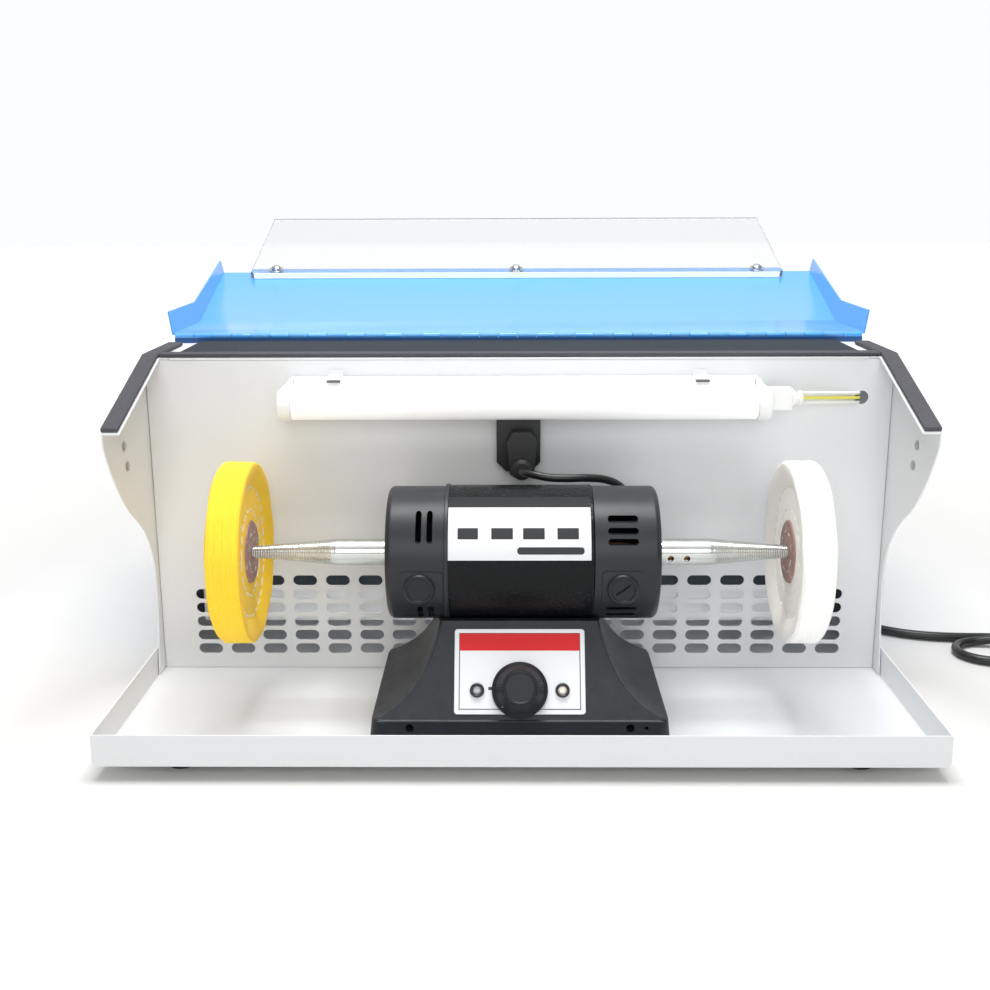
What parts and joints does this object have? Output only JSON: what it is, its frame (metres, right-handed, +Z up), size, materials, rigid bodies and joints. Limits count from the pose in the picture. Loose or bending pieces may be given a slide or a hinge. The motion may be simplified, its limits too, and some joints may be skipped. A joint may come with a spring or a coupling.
{
  "type": "bench_buffer",
  "caption": "Small double-ended bench buffer with speed control, standing in a sheet-metal dust cabinet with a lamp, slotted back panel, extraction fan and hinged lid with a clear visor",
  "frame": {"origin": "on the table under the middle of the box of everything but the free cords", "axes": "+X to the right, +Y to the back, +Z up; the lid lies open towards +Y"},
  "size_m": [0.6562, 0.4504, 0.2661],
  "materials": {
    "cabinet_paint": "white powder coat, low sheen",
    "lid_paint": "light blue enamel, glossy",
    "hinge_paint": "light blue enamel over steel",
    "clear_acrylic": "clear acrylic sheet",
    "edge_foam": "dark grey foam tape",
    "filter_sponge": "open-cell filter foam",
    "foot_rubber": "black rubber",
    "fan_plastic": "black moulded plastic",
    "lamp_enamel": "white enamel",
    "lamp_opal": "opal diffuser",
    "lamp_caps": "white moulded plastic",
    "wire_sleeve": "PVC wire insulation",
    "socket_plastic": "black moulded plastic",
    "plug_rubber": "black moulded PVC",
    "cord_rubber": "black PVC cord sheath",
    "crinkle_black": "black crinkle paint",
    "cap_black": "satin black paint on cast metal",
    "brush_plastic": "black phenolic",
    "knob_plastic": "black moulded knob",
    "plate_white": "white printed aluminium, bare",
    "core_steel": "laminated steel",
    "bearing_steel": "ground steel",
    "spindle_zinc": "bright zinc plate",
    "yellow_cotton": "stitched treated cotton, yellow",
    "white_cotton": "loose unbleached cotton"
  },
  "bodies": {
    "cabinet": {"tray": "cabinet_paint", "cabinet_foot_front_left": "foot_rubber", "cabinet_foot_front_right": "foot_rubber", "cabinet_foot_back_left": "foot_rubber", "cabinet_foot_back_right": "foot_rubber", "side_panel_left": "cabinet_paint", "side_panel_right": "cabinet_paint", "edge_strip_left": "edge_foam", "edge_strip_right": "edge_foam", "top_edge_strip": "edge_foam", "grille_panel": "cabinet_paint", "rear_wall": "cabinet_paint", "fan_shelf": "cabinet_paint", "fan_frame": "fan_plastic", "filter_foam": "filter_sponge", "lamp_housing": "lamp_enamel", "lamp_diffuser": "lamp_opal", "lamp_end_cap_left": "lamp_caps", "lamp_end_cap_right": "lamp_caps", "lamp_plug": "lamp_caps", "lamp_wires": "wire_sleeve", "outlet_socket": "socket_plastic", "lathe_plug": "plug_rubber", "hinge_fixed_leaf": "hinge_paint", "switch_frame": "socket_plastic", "cord_gland": "plug_rubber", "motor_drum": "crinkle_black", "end_cap_left": "cap_black", "end_cap_right": "cap_black", "brush_cap_left": "brush_plastic", "brush_cap_right": "brush_plastic", "stator": "core_steel", "bearing_left": "bearing_steel", "bearing_right": "bearing_steel", "base_housing": "cap_black", "lathe_foot_front_left": "foot_rubber", "lathe_foot_front_right": "foot_rubber", "lathe_foot_back_left": "foot_rubber", "lathe_foot_back_right": "foot_rubber", "control_plate": "plate_white", "potentiometer": "bearing_steel", "indicator_left": "brush_plastic", "indicator_right": "brush_plastic", "lathe_cord_relief": "plug_rubber", "lathe_cord": "cord_rubber", "mains_cord": "cord_rubber", "mains_coil": "cord_rubber", "mains_cord_end": "cord_rubber", "mains_plug": "plug_rubber"},
    "lid": {"lid_panel": "lid_paint", "hinge_moving_leaf": "hinge_paint", "visor": "clear_acrylic"},
    "rotor": {"armature": "core_steel", "spindle_left": "spindle_zinc", "spindle_right": "spindle_zinc", "buff_yellow": "yellow_cotton", "buff_white": "white_cotton"},
    "knob": {"speed_knob": "knob_plastic"},
    "fan": {"fan_rotor": "fan_plastic"},
    "rocker": {"switch_rocker": "socket_plastic"}
  },
  "joints": [
    {"name": "lid_hinge", "type": "hinge", "parent": "cabinet", "child": "lid", "pos_m": [0, -0.02364, 0.2006], "axis": [1, 0, 0], "range_deg": [0, 180]},
    {"name": "spindle_spin", "type": "hinge", "parent": "cabinet", "child": "rotor", "pos_m": [0, -0.15574, 0.0999], "axis": [1, 0, 0], "continuous": true},
    {"name": "speed_knob_turn", "type": "hinge", "parent": "cabinet", "child": "knob", "pos_m": [0, -0.19868, 0.0389], "axis": [0, 0.8783, -0.4782], "range_deg": [0, 270]},
    {"name": "fan_spin", "type": "hinge", "parent": "cabinet", "child": "fan", "pos_m": [0, -0.03824, 0.0945], "axis": [0, 1, 0], "continuous": true},
    {"name": "switch_rock", "type": "hinge", "parent": "cabinet", "child": "rocker", "pos_m": [0.108, -0.02394, 0.06], "axis": [0, 0, 1], "range_deg": [0, 18]}
  ]
}
